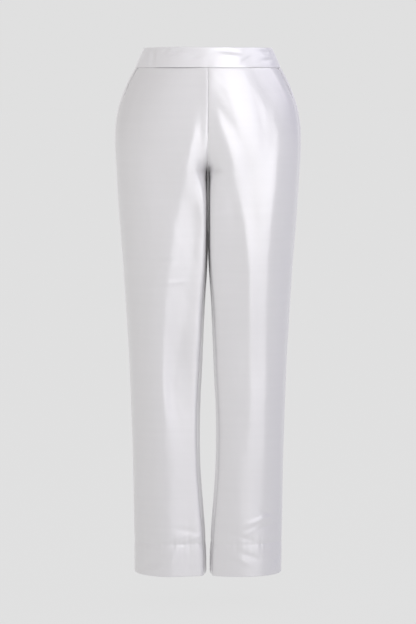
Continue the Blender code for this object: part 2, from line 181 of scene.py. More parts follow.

# Creases, as seen from the front or from behind: x, z, length, width, depth, lean of its length from
# upright in degrees. A depth below zero is a trough.
FRONT_CREASES = (
    (-0.088, -0.412, 0.022, 0.0060, -0.0011, 78.0),
    (-0.066, -0.452, 0.026, 0.0040, 0.0006, 86.0),
    (-0.050, -0.957, 0.030, 0.0070, 0.0005, 80.0),
    (-0.038, -0.947, 0.024, 0.0050, -0.0006, 104.0),
    (-0.026, -0.961, 0.018, 0.0036, 0.0008, 70.0),
    (-0.112, -1.012, 0.024, 0.0052, -0.0011, 58.0),
    (-0.096, -1.022, 0.020, 0.0044, 0.0010, 64.0),
    (-0.070, -1.000, 0.020, 0.0060, 0.0007, 20.0),
    (0.098, -0.926, 0.034, 0.0046, 0.0013, 72.0),
    (0.112, -0.938, 0.030, 0.0042, -0.0011, 78.0),
    (0.090, -0.944, 0.026, 0.0040, 0.0010, 64.0),
    (0.072, -0.960, 0.024, 0.0040, -0.0009, 108.0),
    (0.124, -0.915, 0.022, 0.0050, -0.0012, 120.0),
    (0.080, -0.995, 0.022, 0.0046, -0.0010, 112.0),
    (0.068, -1.006, 0.020, 0.0042, 0.0009, 116.0),
    (0.134, -1.006, 0.026, 0.0050, -0.0012, 32.0),
    (0.142, -1.016, 0.020, 0.0042, 0.0010, 40.0),
    (0.020, -0.300, 0.016, 0.0050, -0.0007, 60.0),
    (0.022, -0.322, 0.015, 0.0046, 0.0006, 66.0),
)
BACK_CREASES = (
    (-0.060, -0.262, 0.050, 0.0110, -0.0016, 66.0),
    (-0.080, -0.292, 0.046, 0.0100, 0.0012, 58.0),
    (-0.040, -0.312, 0.040, 0.0100, -0.0014, 48.0),
    (0.056, -0.268, 0.048, 0.0110, -0.0016, -64.0),
    (0.076, -0.300, 0.050, 0.0100, 0.0012, -56.0),
    (0.038, -0.330, 0.036, 0.0095, -0.0013, -44.0),
    (-0.086, -0.580, 0.036, 0.0080, -0.0014, 72.0),
    (-0.066, -0.606, 0.040, 0.0080, 0.0011, 98.0),
    (-0.094, -0.634, 0.032, 0.0076, -0.0012, 84.0),
    (0.082, -0.570, 0.038, 0.0080, -0.0014, -76.0),
    (0.068, -0.600, 0.034, 0.0074, 0.0011, -100.0),
    (0.092, -0.640, 0.036, 0.0080, -0.0012, -82.0),
    (-0.070, -0.952, 0.030, 0.0046, 0.0010, 82.0),
    (0.060, -0.948, 0.028, 0.0046, 0.0010, 96.0),
    (0.100, -0.960, 0.026, 0.0042, -0.0009, 74.0),
    (-0.030, -1.008, 0.022, 0.0046, -0.0009, 60.0),
    (0.110, -1.010, 0.024, 0.0048, -0.0010, 52.0),
)
BAND_CREASES = (
    (-0.055, -0.020, 0.080, 0.040, 0.0030, 0.0),
    (-0.106, -0.018, 0.022, 0.0046, -0.0020, 4.0),
    (-0.082, -0.008, 0.010, 0.0038, -0.0013, 50.0),
    (-0.060, -0.009, 0.014, 0.0034, -0.0021, 82.0),
    (-0.056, -0.016, 0.014, 0.0032, 0.0013, 84.0),
    (-0.026, -0.020, 0.012, 0.0026, -0.0013, 74.0),
    (0.040, -0.008, 0.017, 0.0036, -0.0023, 97.0),
    (0.044, -0.016, 0.018, 0.0034, 0.0013, 96.0),
    (0.072, -0.024, 0.010, 0.0030, -0.0010, 60.0),
    (0.112, -0.010, 0.012, 0.0036, -0.0018, 100.0),
    (0.118, -0.024, 0.012, 0.0032, -0.0013, 82.0),
)

# Long soft edges down the fronts, where the cloth turns towards +X, or away from it if the drop is below zero
EDGE_COLUMNS = ("height", "x", "drop", "width")
SOFT_EDGES = (
    (
        (-0.100, -0.012, 0.0000, 0.014),
        (-0.163, -0.018, 0.0012, 0.014),
        (-0.220, -0.025, 0.0026, 0.018),
        (-0.300, -0.038, 0.0034, 0.023),
        (-0.400, -0.050, 0.0038, 0.026),
        (-0.500, -0.062, 0.0044, 0.030),
        (-0.560, -0.068, 0.0043, 0.030),
        (-0.610, -0.067, 0.0044, 0.033),
        (-0.650, -0.065, 0.0043, 0.034),
        (-0.700, -0.063, 0.0043, 0.034),
        (-0.750, -0.062, 0.0043, 0.033),
        (-0.800, -0.060, 0.0043, 0.032),
        (-0.900, -0.057, 0.0038, 0.030),
        (HEM, -0.050, 0.0032, 0.030),
    ),
    (
        (-0.115, 0.014, 0.0003, 0.012),
        (-0.167, 0.042, 0.0011, 0.014),
        (-0.233, 0.064, 0.0012, 0.014),
        (-0.300, 0.073, 0.0011, 0.013),
        (-0.380, 0.084, 0.0010, 0.012),
        (-0.470, 0.089, 0.0009, 0.011),
        (-0.590, 0.090, 0.0008, 0.010),
        (-0.700, 0.090, 0.0006, 0.010),
        (-0.800, 0.088, 0.0004, 0.010),
        (HEM, 0.086, 0.0000, 0.010),
    ),
    (
        (-0.040, 0.118, 0.0000, 0.030),
        (-0.100, 0.130, -0.0024, 0.030),
        (-0.200, 0.138, -0.0034, 0.030),
        (-0.280, 0.128, -0.0020, 0.030),
        (-0.400, 0.120, 0.0000, 0.030),
    ),
    (
        (-0.560, -0.075, 0.0000, 0.010),
        (-0.620, -0.079, 0.0008, 0.010),
        (-0.660, -0.079, 0.0009, 0.009),
        (-0.710, -0.073, 0.0007, 0.009),
        (-0.780, -0.066, 0.0000, 0.012),
    ),
    (
        (-0.300, 0.042, 0.0000, 0.030),
        (-0.400, 0.042, -0.0012, 0.030),
        (-0.550, 0.038, -0.0018, 0.028),
        (-0.750, 0.036, -0.0022, 0.026),
        (HEM, 0.034, -0.0022, 0.026),
    ),
)

# The front's soft edge along the top of the centre seam
CENTRE_RIDGE = {"z": -0.068, "length": 0.046, "width": 0.015, "height": 0.0013}

# Stronger puckers beside the side seams and the hem line: place along the seam, reach and extra height
SIDE_PUCKERS = ((-0.310, 0.030, 0.00045), (-0.900, 0.060, 0.00020))
HEM_PUCKERS = ((0.120, 0.040, 0.00060), (-0.068, 0.038, 0.00075), (0.030, 0.022, 0.00030))

# How the cloth dips into a seam, (depth, width), and how far from it the puckers reach
SEAM_DIP = (0.00028, 0.0026)
WAIST_DIP = (0.0005, 0.0026)
STITCH_DIP = (0.0005, 0.0034)
HEM_VALLEY = (0.0007, 0.010)
SEAM_PUCKER_REACH = 0.012
WAIST_PUCKER_REACH = 0.010
HEM_PUCKER_REACH = 0.014
STITCH_UNEVEN = 0.4  # the share of the stitches' dip that varies along the hem line
SEEDS = {"inner": 11, "side": 23, "waist": 37, "stitch": 41, "hem": 53}
NO_SEAM = 1.0  # a distance at which no seam is felt

# Waves along a seam, (share of the height, size of a cell), and unevenness of the cloth, with a seed each
PUCKER_WAVES = ((1.0, 0.0062), (0.8, 0.0105), (0.6, 0.019))
RIPPLE_WAVES = ((1.0, 0.075, 3), (0.6, 0.038, 5), (0.3, 0.017, 7))
CELL_ACROSS = 0.7
CELL_UP = 1.5
NOISE_ORIGIN = 2.0  # keeps the places in the noise above zero
NOISE_SIZE = 64
PUCKER_ROW = 0.3  # where in the noise the puckers are read
FADE = 0.014  # how far from a seam the folds and unevenness fade out

# Fullness of the arcs of a section and how finely they are followed
OUTER_FULLNESS = 0.56
INNER_FULLNESS = 0.62
ARC_STEPS = 120
RIGHTWARDS = np.array((1.0, 0.0))
BACKWARDS = np.array((0.0, 1.0))

# Grids: steps beside an edge, and the steps that are repeated under it as its turned-in allowance
EDGE_STEPS = (0.0, 0.0005, 0.0012, 0.0022, 0.0040, 0.0070, 0.0110)
UNDER_STEPS = (3, 4, 5, 6)
TURN = np.radians((45.0, 90.0, 135.0, 180.0))
LINE_STEPS = (0.0060, 0.0040, 0.0025, 0.0015, 0.0007, 0.0, -0.0007, -0.0015, -0.0025, -0.0040, -0.0060)
ROW_STEP = 0.0036
PANEL_COLUMNS = 82
BAND_COLUMNS = 90
BAND_ROWS = 20
BAND_EDGE_ROWS = 5
BAND_UNDER_STEPS = (3, 4)
HEM_UNDER = (0.004, 0.062)  # the heights over the hem between which the hem's inner layer runs
HEM_UNDER_EVERY = 3
SETTLING_ROUNDS = 5

# Depths under the outer form
POCKET_DEPTH = 0.0017
MOUTH_DEPTH = 0.0007
MOUTH_RISE = 0.004  # the distance in which the bag comes up to the mouth
POCKET_BOTTOM = -0.250
POCKET_START = 0.36  # of the way from the centre seam to the side
POCKET_ROWS = 56
POCKET_COLUMNS = 30
POCKET_MARGIN = 0.0003

# The closed coil of the zip: two rows of small bars that meet in the middle of the tape
COIL_TOP = -0.047
COIL_BOTTOM = -0.168
COIL_PITCH = 0.0013
COIL_RADIUS = 0.0004
COIL_REACH = 0.0019
COIL_OVERLAP = 0.0004
COIL_SIDES = 6

# Nodes of the part that show themselves, and the panel's colour of each
FITTINGS = {"zip_tape": "tape", "zip_slider": "metal", "waist_hook": "metal", "waist_bar": "metal"}

# Silks and plain finishes by the panel's colours: name of the material, roughness and metallic
# The pocket bags' silk is the body's silk made a little darker: painted shade inside the pockets.
# The waistband's silk is the body's silk made lighter: painted light falling on the band.
SILKS = {"silk": ("ivory_silk", 0.32), "band": ("taut_silk", 0.34), "pocket": ("shaded_silk", 0.42)}
PLAIN_FINISHES = {"tape": ("woven_tape", 0.70, 0.0), "metal": ("plated_metal", 0.30, 0.9)}
UNEVEN = 0.06  # of a plain finish's roughness

# The silk's shader, the range of its slubs, their relief and the range of its tone
SATIN = {
    "Metallic": 0.20,
    "IOR": 1.55,
    "Anisotropic": 0.80,
    "Anisotropic Rotation": 0.25,
    "Sheen Weight": 0.12,
    "Sheen Roughness": 0.4,
}
SLUBS = (("From Min", 0.56), ("From Max", 0.78))
SLUB_RELIEF = (("Strength", 0.12), ("Distance", 0.00018))
TONES = (("From Min", 0.3), ("From Max", 0.7), ("To Min", 0.992), ("To Max", 1.006))

# Noises of the silk, scale and detail: its slubs, its weave and its unevenness of tone
WEAVE = (((14.0, 620.0, 1.0), 2.0), ((42.0, 1500.0, 1.0), 1.0), ((5.0, 90.0, 1.0), 2.0))

# The photograph's view
CAMERA_PLACE = (0.0, -4.5, -0.05)
CAMERA_TILT = 5.945
CAMERA_LENS = 132.2
CAMERA_REACH = 200.0
FLOOR_HEIGHT = -1.10
FLOOR_RADIUS = 60.0
FLOOR_SIDES = 96
FLOOR_TONE = 0.03  # of the background's colour, so that a trace of shade falls on it
FLOOR_GLOW = 0.983

# Light from all round: from the left, in front and behind, and from the right
WORLD_LEFT = (0.43, 0.415, 0.405)
WORLD_FRONT = (0.80, 0.788, 0.80)
WORLD_RIGHT = (0.28, 0.27, 0.41)

# The softboxes: place, the point they face, width and height, colour, and the visibility switched off
SOFTBOXES = {
    "key": ((1.28, -2.45, 0.26), (0.0, 0.0, -0.20), (1.9, 2.3), (0.97, 0.965, 1.0), "visible_diffuse"),
    "side": ((1.8, -0.1, 1.25), (0.0, 0.0, -0.05), (2.2, 0.9), (0.98, 0.97, 1.0), None),
    "fill": ((-0.5, -1.5, 0.5), (0.0, 0.0, -0.1), (1.5, 1.0), (1.0, 1.0, 1.0), "visible_glossy"),
    "top": ((1.0, -1.4, 0.85), (0.0, 0.0, -0.02), (3.0, 0.7), (1.0, 1.0, 1.0), None),
}


def length_setting(name, description, default, least, most):
    """A length on the panel."""
    return FloatProperty(
        name=name, description=description, default=default, min=least, max=most, unit="LENGTH"
    )


def factor_setting(name, description, default, **limits):
    """A multiplier on the panel."""
    return FloatProperty(
        name=name, description=description, default=default, min=0.0, subtype="FACTOR", **limits
    )


def colour_setting(name, description, default):
    """A colour on the panel."""
    return FloatVectorProperty(
        name=name, description=description, subtype="COLOR", size=3, default=default, min=0.0, max=1.0
    )


def power_setting(name, description, default):
    """The strength of a light on the panel."""
    return FloatProperty(name=name, description=description, default=default, min=0.0, unit="POWER")


class TrousersSizes(bpy.types.PropertyGroup):
    """Sizes of the cloth and its making."""

    cloth: length_setting("Cloth", "Thickness of one layer of silk", 0.0005, 0.0002, 0.0011)
    seam_radius: length_setting("Seam roll", "Radius of the cloth's turn into a seam", 0.0004, 0.0003, 0.0012)
    hem_radius: length_setting("Hem turn", "Radius of the fold along the hem", 0.0011, 0.0006, 0.0020)
    band_radius: length_setting("Band fold", "Radius of the fold along the waistband", 0.0009, 0.0005, 0.0010)
    crease: factor_setting("Crease depth", "Multiplies the depth of every crease", 1.0, max=2.0)
    ripple: length_setting("Ripple", "Height of the low, wide unevenness of the cloth", 0.00045, 0.0, 0.002)
    pucker: length_setting("Pucker", "Height of the small puckers beside seams", 0.00016, 0.0, 0.001)


class TrousersColours(bpy.types.PropertyGroup):
    """Colours of the cloth, the fittings and the studio."""

    silk: colour_setting("Silk", "Ivory silk satin", (0.80, 0.79, 0.80))
    # The band's colour is lighter than the body's silk: painted light on the band, which is the same silk.
    band: colour_setting("Waistband", "The same silk, taut over its stiffening", (0.85, 0.84, 0.855))
    # The pocket's colour is a little darker than the body's silk: painted shade inside the pockets.
    pocket: colour_setting("Pocket", "The silk of the pocket bags", (0.78, 0.77, 0.78))
    tape: colour_setting("Zip tape", "Woven tape and coil", (0.78, 0.77, 0.77))
    metal: colour_setting("Metal", "Slider, hook and bar", (0.70, 0.69, 0.67))
    studio: colour_setting("Studio", "Floor and background", (0.745, 0.745, 0.745))


class TrousersLights(bpy.types.PropertyGroup):
    """Strengths of the studio's lights."""

    key: power_setting("Key", "Softbox in front on the right", 29.0)
    top: power_setting("Top", "Long softbox above the camera", 2.5)
    side: power_setting("Side", "Softbox high on the right", 12.0)
    fill: power_setting("Fill", "Even light near the waist", 5.5)
    room: factor_setting("Room", "Strength of the light from all round", 1.0)


def spline(places, values):
    """A smooth curve through the values: a natural cubic spline, as a function of place."""
    order = np.argsort(places)
    x = np.array(places, float)[order]
    y = np.array(values, float)[order]
    step = np.diff(x)
    slope = np.diff(y) / step
    system = np.eye(len(x))
    bend = np.zeros(len(x))
    for i in range(1, len(x) - 1):
        system[i, i - 1 : i + 2] = step[i - 1], 2 * (step[i - 1] + step[i]), step[i]
        bend[i] = 6 * (slope[i] - slope[i - 1])
    second = np.linalg.solve(system, bend)

    def at(place):
        place = float(np.clip(place, x[0], x[-1]))
        i = int(np.clip(np.searchsorted(x, place) - 1, 0, len(x) - 2))
        before = x[i + 1] - place
        after = place - x[i]
        cubic = (second[i] * before**3 + second[i + 1] * after**3) / (6 * step[i])
        left = (y[i] / step[i] - second[i] * step[i] / 6) * before
        right = (y[i + 1] / step[i] - second[i + 1] * step[i] / 6) * after
        return cubic + left + right

    return at


def columns(names, rows):
    """The table's columns after the first, each as a spline over the first."""
    places = [row[0] for row in rows]
    return {name: spline(places, [row[i] for row in rows]) for i, name in enumerate(names) if i}


SECTION = columns(SECTION_COLUMNS, SECTIONS)
INSEAM = columns(INSEAM_COLUMNS, INSEAMS)
OVERLAP = columns(OVERLAP_COLUMNS, OVERLAPS)
CORNER = columns(CORNER_COLUMNS, CORNERS)


def set_back(z):
    """How far the front's side edge lies from the side seam, straight from row to row."""
    heights, distances = zip(*MOUTH[::-1])
    return float(np.interp(z, heights, distances))


def arc(start, leaving, end, arriving, fullness, last_fullness=None):
    """A smooth turn between two points, with the headings that the cloth has at each."""
    across, deep = np.abs(end - start)
    first = fullness * (across * abs(leaving[0]) + deep * abs(leaving[1]))
    last = (last_fullness or fullness) * (across * abs(arriving[0]) + deep * abs(arriving[1]))
    controls = (start, start + first * leaving, end - last * arriving, end)
    t = np.linspace(0.0, 1.0, ARC_STEPS + 1)[:, None]
    weights = ((1 - t) ** 3, 3 * t * (1 - t) ** 2, 3 * t**2 * (1 - t), t**3)
    return sum(weight * control for weight, control in zip(weights, controls))


def inner_starts(z, front, back):
    """Where a leg's inner curve starts in front and behind, and its heading there."""
    if z >= CROTCH:
        angle = math.radians(CROTCH_HEADING)
        starts = []
        for name, way in (("front_overlap", -1), ("back_overlap", 1)):
            start = np.array((HALF_GAP - OVERLAP[name](z), CROTCH_Y))
            starts.append((start, np.array((math.cos(angle), way * math.sin(angle)))))
        return starts
    angle = math.radians(INSEAM["heading"](z))
    clearance = INSEAM["clearance"](z)
    heading = np.array((math.cos(angle), -math.sin(angle)))
    seam = np.array((clearance, INSEAM["seam_y"](z)))
    for _ in range(SETTLING_ROUNDS):
        behind = arc(seam, -heading, back, RIGHTWARDS, INNER_FULLNESS)
        seam[0] += clearance - behind[:, 0].min()
    return [(seam, heading), (seam.copy(), -heading)]


def bump(across, up, length, width, lean):
    """A long soft hill: 1 on its middle line, falling away across it and towards its ends."""
    turn = math.radians(lean)
    along = up * math.cos(turn) + across * math.sin(turn)
    aside = across * math.cos(turn) - up * math.sin(turn)
    return np.exp(-((aside / width) ** 2) - (along / length) ** 2)


def tuck(distance, z):
    """How far the cloth at a distance from the seam is pressed in towards it."""
    depth = TUCK["depth"] * (1 - math.exp(-(((TUCK["top"] - z) / TUCK["start"]) ** 2)))
    distance = np.maximum(distance, 0.0)
    return depth * (1 - np.exp(-distance / depth)) * np.exp(-((distance / TUCK["reach"]) ** 2))


@functools.lru_cache(maxsize=None)
def section(z):
    """Half of the section at a height, from the inner edge in front round the side to the inner edge behind:
    its points, the length of cloth up to each, and the lengths at the edges and lines on it."""
    form = {name: at(z) for name, at in SECTION.items()}
    front = np.array((form["front_x"], form["front_y"]))
    side = np.array((form["side_x"], form["side_y"]))
    back = np.array((form["back_x"], form["back_y"]))
    (first, leaving), (last, returning) = inner_starts(z, front, back)
    turns = (
        arc(first, leaving, front, RIGHTWARDS, CORNER["inner"](z), CORNER["front"](z)),
        arc(front, RIGHTWARDS, side, BACKWARDS, CORNER["outer"](z), OUTER_FULLNESS),
        arc(side, BACKWARDS, back, -RIGHTWARDS, OUTER_FULLNESS),
        arc(last, returning, back, RIGHTWARDS, INNER_FULLNESS)[::-1],
    )
    if z < TUCK["top"]:
        turns[0][:, 0] -= tuck(turns[0][:, 0] - max(first[0], HALF_GAP), z)
    points = np.vstack([turns[0]] + [turn[1:] for turn in turns[1:]])
    steps = np.linalg.norm(np.diff(points, axis=0), axis=1)
    lengths = np.concatenate(([0.0], np.cumsum(steps)))
    middle = 2 * ARC_STEPS
    if z >= CROTCH:
        start = np.interp(HALF_GAP, points[: middle + 1, 0], lengths[: middle + 1])
        stop = np.interp(HALF_GAP, points[:middle:-1, 0], lengths[:middle:-1])
    else:
        start, stop = HALF_GAP, lengths[-1] - HALF_GAP
    lines = {"start": start, "side": lengths[middle] - form["seam_forward"], "stop": stop}
    along = np.gradient(points, axis=0)
    along /= np.linalg.norm(along, axis=1)[:, None]
    outwards = np.stack((along[:, 1], -along[:, 0]), axis=1)
    place = lengths - lines["side"]
    relief = sum(
        depth * bump(place - across, z - height, length, width, lean)
        for across, height, length, width, depth, lean in FOLDS
    )
    points = points + outwards * relief[:, None]
    if z < CROTCH:
        points[:, 0] = np.maximum(points[:, 0], HALF_GAP)
    return points, lengths, lines


def run_of(z, places):
    """Points round the section at a height, at these lengths of cloth."""
    points, lengths, _ = section(z)
    x = np.interp(places, lengths, points[:, 0])
    y = np.interp(places, lengths, points[:, 1])
    return np.stack((x, y, np.full_like(x, z)), axis=1)


def soft_noise(u, v, cell_u, cell_v, seed):
    """Smooth unevenness between -1 and 1 with these cell sizes, the same on every run."""
    values = np.random.default_rng(seed).uniform(-1.0, 1.0, (NOISE_SIZE, NOISE_SIZE))
    a = np.asarray(u) / cell_u
    b = np.asarray(v) / cell_v
    i = np.floor(a).astype(int)
    j = np.floor(b).astype(int)
    s = a - i
    t = b - j
    s = s * s * (3 - 2 * s)
    t = t * t * (3 - 2 * t)
    corners = [values[(i + p) % NOISE_SIZE, (j + q) % NOISE_SIZE] for p in (0, 1) for q in (0, 1)]
    low = corners[0] * (1 - t) + corners[1] * t
    high = corners[2] * (1 - t) + corners[3] * t
    return low * (1 - s) + high * s


def puckers(along, seed):
    """Small uneven waves along a seam."""
    along = np.asarray(along)
    still = np.zeros_like(along)
    return sum(
        share * soft_noise(along, still + PUCKER_ROW, cell, 1.0, seed + i)
        for i, (share, cell) in enumerate(PUCKER_WAVES)
    )


def added_pucker(along, places):
    """Extra amplitude where the table has a patch of stronger puckers."""
    return sum(amount * np.exp(-(((along - place) / reach) ** 2)) for place, reach, amount in places)


def square_to(grid):
    """Unit vectors square to a grid of points that runs round the garment and up."""
    round_it = np.gradient(grid, axis=1)
    up = np.gradient(grid, axis=0)
    square = np.cross(round_it, up)
    return square / np.linalg.norm(square, axis=2)[:, :, None]


def panel_edges(kind, z):
    """Lengths of cloth at the first and last edge of a piece at a height, running away from the front."""
    lines = section(z)[2]
    if kind == "front":
        return lines["start"], lines["side"] - set_back(z)
    if kind == "band_front":
        return lines["start"], lines["side"] - HALF_GAP
    if kind == "pocket":
        start = lines["start"] + POCKET_START * (lines["side"] - lines["start"])
        return start, lines["side"] - HALF_GAP
    return lines["side"] + HALF_GAP, lines["stop"]


def spaced(first, last, count):
    """Lengths between two edges: close together beside each and even between."""
    near = np.array(EDGE_STEPS)
    middle = np.linspace(first + near[-1], last - near[-1], count)[1:-1]
    return np.concatenate((first + near, middle, last - near[::-1]))


def panel_heights(radius, hem_radius):
    """Heights of a panel's rows from the hem up, close together at the hem line and at both edges."""
    near = np.array(EDGE_STEPS)
    bottom = HEM + hem_radius
    line = HEM_LINE + np.array(LINE_STEPS)[::-1]
    top = BAND_BOTTOM - HALF_GAP - radius
    hem_count = round((line[0] - bottom - near[-1]) / ROW_STEP)
    leg_count = round((top - near[-1] - line[-1]) / ROW_STEP)
    hem = np.linspace(bottom + near[-1], line[0], hem_count)[1:-1]
    leg = np.linspace(line[-1], top - near[-1], leg_count)[1:-1]
    return np.concatenate((bottom + near, hem, line, leg, top - near[::-1]))


def edge_relief(x, z):
    """How far the long soft edges move the cloth outwards."""
    relief = np.zeros_like(x)
    for table in SOFT_EDGES:
        edge = columns(EDGE_COLUMNS, table)
        for row, height in enumerate(z[:, 0]):
            if table[-1][0] <= height <= table[0][0]:
                aside = (x[row] - edge["x"](height)) / edge["width"](height)
                relief[row] -= edge["drop"](height) * aside * np.exp(0.5 * (1 - aside**2))
    return relief


def crease_relief(grid, side, kind, sizes):
    """How far the creases placed by hand move the cloth outwards."""
    tables = {"front": FRONT_CREASES, "pocket": FRONT_CREASES, "band_front": BAND_CREASES}
    relief = np.zeros(grid.shape[:2])
    if kind in ("front", "pocket"):
        relief += edge_relief(side * grid[:, :, 0], grid[:, :, 2])
    for x, z, length, width, depth, lean in tables.get(kind, BACK_CREASES):
        relief += depth * bump(side * grid[:, :, 0] - x, grid[:, :, 2] - z, length, width, lean)
    return relief * sizes.crease


def dipped(distance, dip):
    """A soft dip of this depth and width along a line."""
    depth, width = dip
    return -depth * np.exp(-((distance / width) ** 2))


def seam_relief(kind, side, z, place, inner, outer, sizes):
    """The dip of the cloth into its seams and the puckers beside them. inner and outer are the distances to
    the centre seam or inseam and to the side seam."""
    relief = np.zeros_like(z)
    for distance, seam, patches in ((inner, "inner", ()), (outer, "side", SIDE_PUCKERS)):
        height = sizes.pucker + added_pucker(z, patches)
        relief += dipped(distance, SEAM_DIP)
        relief += height * np.exp(-distance / SEAM_PUCKER_REACH) * puckers(z, SEEDS[seam] + side)
    waist = np.abs(z - BAND_BOTTOM)
    relief += dipped(waist, WAIST_DIP)
    relief += sizes.pucker * np.exp(-waist / WAIST_PUCKER_REACH) * puckers(place, SEEDS["waist"] + side)
    if kind in ("front", "back"):
        line = z - HEM_LINE
        stitch = 1 - STITCH_UNEVEN + STITCH_UNEVEN * puckers(place, SEEDS["stitch"] + side)
        relief += stitch * dipped(line, STITCH_DIP) + dipped(line, HEM_VALLEY)
        height = sizes.pucker + added_pucker(side * place, HEM_PUCKERS)
        near = np.exp(-np.abs(line) / HEM_PUCKER_REACH)
        relief += height * near * puckers(place, SEEDS["hem"] + side)
    return relief


def form_of(kind, side, heights, count, sizes, margin):
    """A grid of points on the outer form of a piece, from its lowest row up, with each point's place round
    the cloth from the side seam, all for the wearer's left. side says whose creases it has."""
    base, places, inner, outer = [], [], [], []
    for z in heights:
        first, last = panel_edges(kind, z)
        lengths = spaced(first + margin, last - margin, count)
        lines = section(z)[2]
        base.append(run_of(z, lengths))
        places.append(lengths - lines["side"])
        inner.append(np.minimum(lengths - lines["start"], lines["stop"] - lengths))
        outer.append(np.abs(lengths - (last if kind == "front" else lines["side"])))
    base, places = np.array(base), np.array(places)
    inner, outer = np.array(inner), np.array(outer)
    z = base[:, :, 2]
    if kind == "band_front":
        base[:, 0, 0] = 0.0
        inner = np.full_like(inner, NO_SEAM)
    fade = (1 - np.exp(-((inner / FADE) ** 2))) * (1 - np.exp(-((outer / FADE) ** 2)))
    relief = crease_relief(base, side, kind, sizes) * fade
    across, chance = places, side
    if kind == "band_front":
        across, chance = side * (places - places[:, :1]), 0
    for share, cell, seed in RIPPLE_WAVES:
        noise = soft_noise(
            across + NOISE_ORIGIN, z + NOISE_ORIGIN, cell * CELL_ACROSS, cell * CELL_UP, seed + chance
        )
        relief += sizes.ripple * share * noise * fade
    relief += seam_relief(kind, side, z, across, inner, outer, sizes)
    if kind == "front":
        up = z - CENTRE_RIDGE["z"]
        ridge = bump(inner, up, CENTRE_RIDGE["length"], CENTRE_RIDGE["width"], 0.0)
        relief += CENTRE_RIDGE["height"] * ridge
    grid = base + square_to(base) * relief[:, :, None]
    if kind in ("front", "back"):
        grid[:, :, 0] = np.maximum(grid[:, :, 0], CLEAR_OF_MIDDLE)
    return grid, places


def turned_under(grid, square, edge, inside, under, radius):
    """Rows that turn the cloth over an edge of a grid and run back inside it, first the nearest."""
    away = grid[edge] - grid[inside]
    away /= np.linalg.norm(away, axis=1)[:, None]
    bend = [
        grid[edge] + away * radius * math.sin(angle) - square[edge] * radius * (1 - math.cos(angle))
        for angle in TURN
    ]
    return np.array(bend + [grid[k] - square[k] * 2 * radius for k in under])


def rolled(grid, radius):
    """The grid with the cloth at its first and last column turned round and under, as a seam allowance."""
    square = square_to(grid).transpose(1, 0, 2)
    grid = grid.transpose(1, 0, 2)
    last = len(grid) - 1
    before = turned_under(grid, square, 0, 1, UNDER_STEPS, radius)[::-1]
    after = turned_under(grid, square, last, last - 1, [last - k for k in UNDER_STEPS], radius)
    return np.concatenate((before, grid, after)).transpose(1, 0, 2)


def cloth_object(name, points, coordinates, sides_turned, rows_turned, sizes):
    """A shell through a grid of points and the area of its cloth. The corners where columns turned under at
    the sides would meet rows turned over at the top and bottom are left out."""
    rows, across = points.shape[:2]
    shape = bmesh.new()
    bmesh.ops.create_grid(shape, x_segments=across - 1, y_segments=rows - 1, size=1.0)
    order = sorted(shape.verts, key=lambda vertex: (round(vertex.co.y, 5), round(vertex.co.x, 5)))
    index = {}
    for number, vertex in enumerate(order):
        row, column = divmod(number, across)
        vertex.co = points[row, column]
        index[vertex] = (row, column)
    layer = shape.loops.layers.uv.new("cloth")
    spare = []
    low, high = rows_turned
    for face in shape.faces:
        corners = [index[loop.vert] for loop in face.loops]
        for loop, (row, column) in zip(face.loops, corners):
            loop[layer].uv = coordinates[row, column]
        row = min(corner[0] for corner in corners)
        column = min(corner[1] for corner in corners)
        beside = column < sides_turned or column >= across - 1 - sides_turned
        if beside and (row < low or row >= rows - 1 - high):
            spare.append(face)
        if (row, column) == (low + 2, across // 4):
            shown = face
    bmesh.ops.delete(shape, geom=spare, context="FACES")
    bmesh.ops.recalc_face_normals(shape, faces=shape.faces)
    centre = shown.calc_center_median()
    if shown.normal.x * centre.x + shown.normal.y * centre.y < 0:
        bmesh.ops.reverse_faces(shape, faces=shape.faces)
    mesh = bpy.data.meshes.new(f"{name}_cloth")
    shape.to_mesh(mesh)
    area = sum(face.calc_area() for face in shape.faces)
    shape.free()
    mesh.shade_smooth()
    thing = bpy.data.objects.new(mesh.name, mesh)
    bpy.context.scene.collection.objects.link(thing)
    wall = thing.modifiers.new("cloth", "SOLIDIFY")
    wall.thickness = sizes.cloth
    wall.offset = -1.0
    return thing, area


def cut_of(points):
    """Width and length of the rectangle that a grid of points was cut from."""
    across = np.linalg.norm(np.diff(points, axis=1), axis=2).sum(axis=1).max()
    along = np.linalg.norm(np.diff(points, axis=0), axis=2).sum(axis=0).max()
    return float(across), float(along)


def declare(thing, material, nodes, flat=None, area=None):
    """Gives the piece its material and body and hides the nodes it stands for. flat and area are not used."""
    thing.data.materials.append(material)
    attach(thing, "root")
    if nodes:
        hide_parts(*nodes)


def cloth_coordinates(points, places, side):
    """Metres round the cloth and up it, for the weave."""
    return np.stack((side * places, points[:, :, 2]), axis=2)


def add_turned_shell(name, grid, places, below, above, side, material, sizes):
    """The shell of a piece: its grid, the rows turned over below and above it, and its seam allowances."""
    points = rolled(np.concatenate((below, grid, above)), sizes.seam_radius)
    turned = len(TURN) + len(UNDER_STEPS)
    spread = np.pad(places, ((len(below), len(above)), (turned, turned)), mode="edge")
    coordinates = cloth_coordinates(points, spread, side)
    points = points * (side, 1, 1)
    thing, area = cloth_object(name, points, coordinates, turned, (len(below), len(above)), sizes)
    declare(thing, material, [name], cut_of(points), area)


def add_cloth_panel(kind, side, name, material, sizes):
    """A front or back, with its seam allowances pressed back and its hem turned up inside."""
    radius, hem_radius = sizes.seam_radius, sizes.hem_radius
    heights = panel_heights(radius, hem_radius)
    grid, places = form_of(kind, side, heights, PANEL_COLUMNS, sizes, radius)
    square = square_to(grid)
    last = len(heights) - 1
    lowest, highest = HEM_UNDER
    inside = [i for i, z in enumerate(heights) if lowest < z - HEM < highest][::HEM_UNDER_EVERY]
    hem = turned_under(grid, square, 0, 1, inside, hem_radius)[::-1]
    top = turned_under(grid, square, last, last - 1, [last - k for k in UNDER_STEPS], radius)
    add_turned_shell(name, grid, places, hem, top, side, material, sizes)


